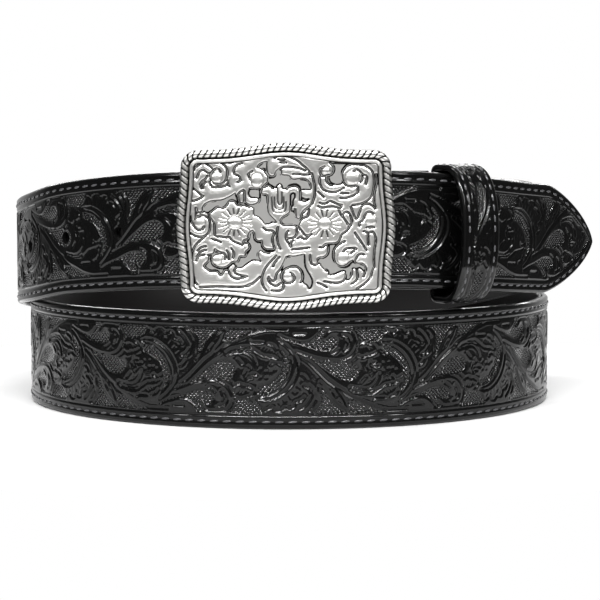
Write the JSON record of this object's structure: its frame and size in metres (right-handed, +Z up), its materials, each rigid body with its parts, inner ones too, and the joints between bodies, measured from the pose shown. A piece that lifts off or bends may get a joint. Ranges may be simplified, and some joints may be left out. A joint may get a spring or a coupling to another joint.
{
  "type": "western belt",
  "caption": "Tooled leather western belt with a cast floral plate buckle, fastened and coiled in two turns on its edge.",
  "frame": {"origin": "middle of the bounding box, on the floor that the strap's lower edge stands on", "axes": "+Z up across the strap's width, -Y towards the side that the buckle faces, +X towards the strap's tip"},
  "size_m": [0.2104, 0.2056, 0.0929],
  "materials": {
    "black_leather": "glossy finished black leather with carved and pricked ornament",
    "lining_leather": "matt black lining leather",
    "antique_silver": "silver plate over cast metal, darkened in the recesses",
    "snap_nickel": "polished nickel"
  },
  "bodies": {
    "root": {"strap_face": "black_leather", "strap_lining": "lining_leather", "keeper": "black_leather", "buckle_plate": "antique_silver", "snap_cap_1": "snap_nickel", "snap_cap_2": "snap_nickel"}
  },
  "joints": []
}
